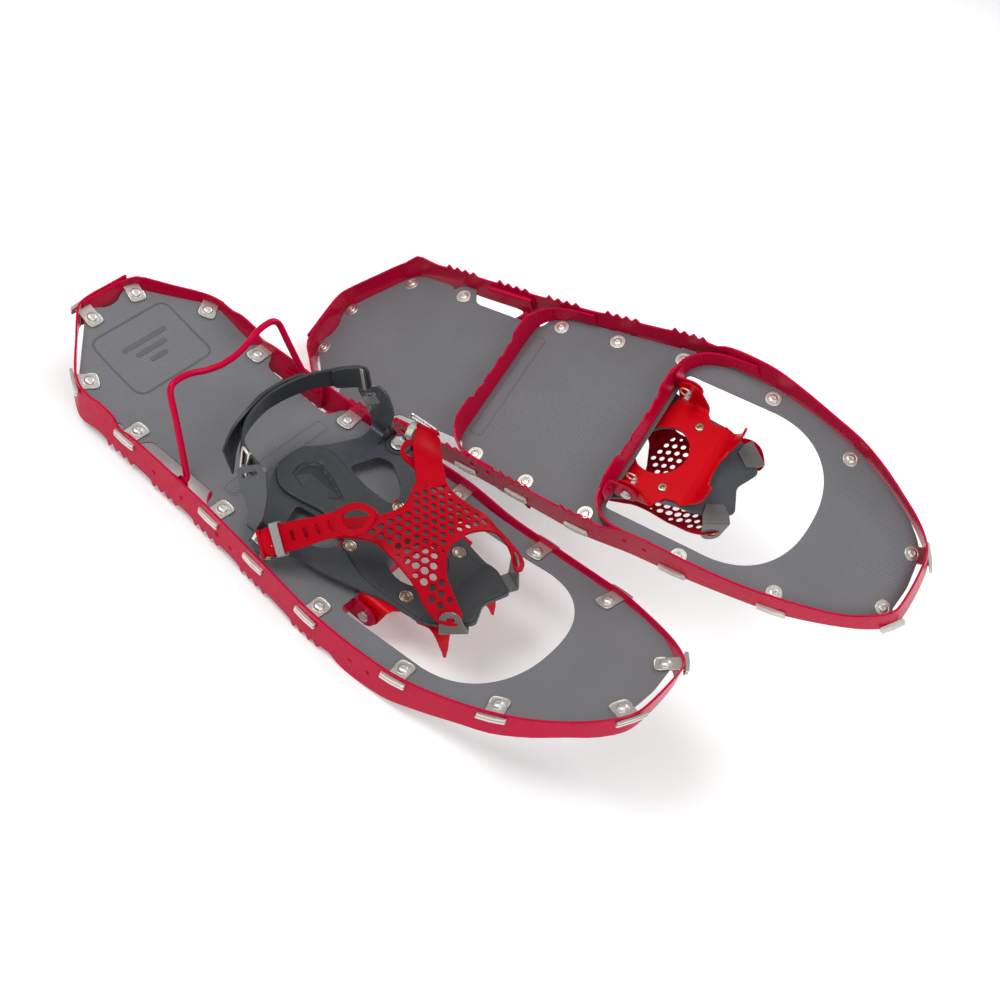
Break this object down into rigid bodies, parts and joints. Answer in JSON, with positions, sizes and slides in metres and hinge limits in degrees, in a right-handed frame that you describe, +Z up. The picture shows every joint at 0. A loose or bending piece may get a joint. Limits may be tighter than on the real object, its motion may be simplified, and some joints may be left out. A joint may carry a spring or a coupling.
{
  "type": "pair of snowshoes",
  "caption": "Pair of snowshoes with toothed blade frames, riveted decks, pivoting crampon bindings, mesh wraps, heel straps and folding heel bails.",
  "frame": {"origin": "on the floor, at the middle of the footprint of the pair", "axes": "+X along the upright shoe toward its toe, +Z up, +Y toward the shoe that lies upside down"},
  "size_m": [0.7366, 0.4212, 0.2414],
  "materials": {
    "left_bail_bracket_l": "gloss anodised or painted",
    "left_bail_bracket_r": "gloss anodised or painted",
    "left_crampon": "gloss anodised or painted",
    "left_deck": "coated woven sheet",
    "left_footbed": "satin moulded urethane",
    "left_frame": "gloss anodised or painted",
    "left_front_crossmember": "gloss anodised or painted",
    "left_front_rivet_l": "satin stainless",
    "left_front_rivet_r": "satin stainless",
    "left_heel_buckle": "satin stainless",
    "left_heel_lift_bail": "gloss anodised or painted",
    "left_heel_strap": "satin moulded urethane",
    "left_heel_strap_tip": "satin stainless",
    "left_keeper_loop": "satin moulded urethane",
    "left_mesh_wrap": "satin moulded urethane",
    "left_pivot_ear_l": "gloss anodised or painted",
    "left_pivot_ear_r": "gloss anodised or painted",
    "left_pivot_pin_l": "satin stainless",
    "left_pivot_pin_r": "satin stainless",
    "left_rear_crossmember": "gloss anodised or painted",
    "left_rear_rivet_l": "satin stainless",
    "left_rear_rivet_r": "satin stainless",
    "left_side_buckle_long": "satin stainless",
    "left_side_buckle_short": "satin stainless",
    "left_split_ring_l": "satin stainless",
    "left_split_ring_r": "satin stainless",
    "left_toe_tab_l": "satin stainless",
    "left_toe_tab_r": "satin stainless",
    "left_wing_bolt_l": "satin stainless",
    "left_wing_bolt_r": "satin stainless",
    "right_bail_bracket_l": "gloss anodised or painted",
    "right_bail_bracket_r": "gloss anodised or painted",
    "right_crampon": "gloss anodised or painted",
    "right_deck": "coated woven sheet",
    "right_footbed": "satin moulded urethane",
    "right_frame": "gloss anodised or painted",
    "right_front_crossmember": "gloss anodised or painted",
    "right_front_rivet_l": "satin stainless",
    "right_front_rivet_r": "satin stainless",
    "right_heel_buckle": "satin stainless",
    "right_heel_lift_bail": "gloss anodised or painted",
    "right_heel_strap": "satin moulded urethane",
    "right_heel_strap_tip": "satin stainless",
    "right_keeper_loop": "satin moulded urethane",
    "right_mesh_wrap": "satin moulded urethane",
    "right_pivot_ear_l": "gloss anodised or painted",
    "right_pivot_ear_r": "gloss anodised or painted",
    "right_pivot_pin_l": "satin stainless",
    "right_pivot_pin_r": "satin stainless",
    "right_rear_crossmember": "gloss anodised or painted",
    "right_rear_rivet_l": "satin stainless",
    "right_rear_rivet_r": "satin stainless",
    "right_side_buckle_long": "satin stainless",
    "right_side_buckle_short": "satin stainless",
    "right_split_ring_l": "satin stainless",
    "right_split_ring_r": "satin stainless",
    "right_toe_tab_l": "satin stainless",
    "right_toe_tab_r": "satin stainless",
    "right_wing_bolt_l": "satin stainless",
    "right_wing_bolt_r": "satin stainless"
  },
  "bodies": {
    "frames": {"right_bail_bracket_l": "right_bail_bracket_l", "right_bail_bracket_r": "right_bail_bracket_r", "right_deck": "right_deck", "right_frame": "right_frame", "right_front_crossmember": "right_front_crossmember", "right_pivot_ear_l": "right_pivot_ear_l", "right_pivot_ear_r": "right_pivot_ear_r", "right_pivot_pin_l": "right_pivot_pin_l", "right_pivot_pin_r": "right_pivot_pin_r", "right_rear_crossmember": "right_rear_crossmember", "right_split_ring_l": "right_split_ring_l", "right_split_ring_r": "right_split_ring_r", "left_bail_bracket_l": "left_bail_bracket_l", "left_bail_bracket_r": "left_bail_bracket_r", "left_deck": "left_deck", "left_frame": "left_frame", "left_front_crossmember": "left_front_crossmember", "left_pivot_ear_l": "left_pivot_ear_l", "left_pivot_ear_r": "left_pivot_ear_r", "left_pivot_pin_l": "left_pivot_pin_l", "left_pivot_pin_r": "left_pivot_pin_r", "left_rear_crossmember": "left_rear_crossmember", "left_split_ring_l": "left_split_ring_l", "left_split_ring_r": "left_split_ring_r"},
    "right_binding": {"right_crampon": "right_crampon", "right_footbed": "right_footbed", "right_front_rivet_l": "right_front_rivet_l", "right_front_rivet_r": "right_front_rivet_r", "right_keeper_loop": "right_keeper_loop", "right_mesh_wrap": "right_mesh_wrap", "right_rear_rivet_l": "right_rear_rivet_l", "right_rear_rivet_r": "right_rear_rivet_r", "right_side_buckle_long": "right_side_buckle_long", "right_side_buckle_short": "right_side_buckle_short", "right_toe_tab_l": "right_toe_tab_l", "right_toe_tab_r": "right_toe_tab_r", "right_wing_bolt_l": "right_wing_bolt_l", "right_wing_bolt_r": "right_wing_bolt_r"},
    "right_strap": {"right_heel_buckle": "right_heel_buckle", "right_heel_strap": "right_heel_strap", "right_heel_strap_tip": "right_heel_strap_tip"},
    "right_bail": {"right_heel_lift_bail": "right_heel_lift_bail"},
    "left_binding": {"left_crampon": "left_crampon", "left_footbed": "left_footbed", "left_front_rivet_l": "left_front_rivet_l", "left_front_rivet_r": "left_front_rivet_r", "left_keeper_loop": "left_keeper_loop", "left_mesh_wrap": "left_mesh_wrap", "left_rear_rivet_l": "left_rear_rivet_l", "left_rear_rivet_r": "left_rear_rivet_r", "left_side_buckle_long": "left_side_buckle_long", "left_side_buckle_short": "left_side_buckle_short", "left_toe_tab_l": "left_toe_tab_l", "left_toe_tab_r": "left_toe_tab_r", "left_wing_bolt_l": "left_wing_bolt_l", "left_wing_bolt_r": "left_wing_bolt_r"},
    "left_strap": {"left_heel_buckle": "left_heel_buckle", "left_heel_strap": "left_heel_strap", "left_heel_strap_tip": "left_heel_strap_tip"},
    "left_bail": {"left_heel_lift_bail": "left_heel_lift_bail"}
  },
  "joints": [
    {"name": "right_binding_pivot", "type": "hinge", "parent": "frames", "child": "right_binding", "pos_m": [0.02523, -0.10292, 0.03446], "axis": [0, 0.9854, 0.1702], "range_deg": [-2.5, 75]},
    {"name": "right_bail_pivot", "type": "hinge", "parent": "frames", "child": "right_bail", "pos_m": [-0.17077, -0.10518, 0.04757], "axis": [0, 0.9854, 0.1702], "range_deg": [-53, 32]},
    {"name": "right_strap_pivot", "type": "hinge", "parent": "right_binding", "child": "right_strap", "pos_m": [-0.10877, -0.11471, 0.10275], "axis": [0, 0.9854, 0.1702], "range_deg": [-12, 5]},
    {"name": "left_binding_pivot", "type": "hinge", "parent": "frames", "child": "left_binding", "pos_m": [0.1092, 0.09735, 0.16404], "axis": [0.1683, -0.858, -0.4853], "range_deg": [-2.5, 75]},
    {"name": "left_bail_pivot", "type": "hinge", "parent": "frames", "child": "left_bail", "pos_m": [-0.07517, 0.09953, 0.09625], "axis": [0.1683, -0.858, -0.4853], "range_deg": [-37, 48]},
    {"name": "left_strap_pivot", "type": "hinge", "parent": "left_binding", "child": "left_strap", "pos_m": [-0.00257, 0.12973, 0.06803], "axis": [0.1683, -0.858, -0.4853], "range_deg": [-12, 5]}
  ]
}
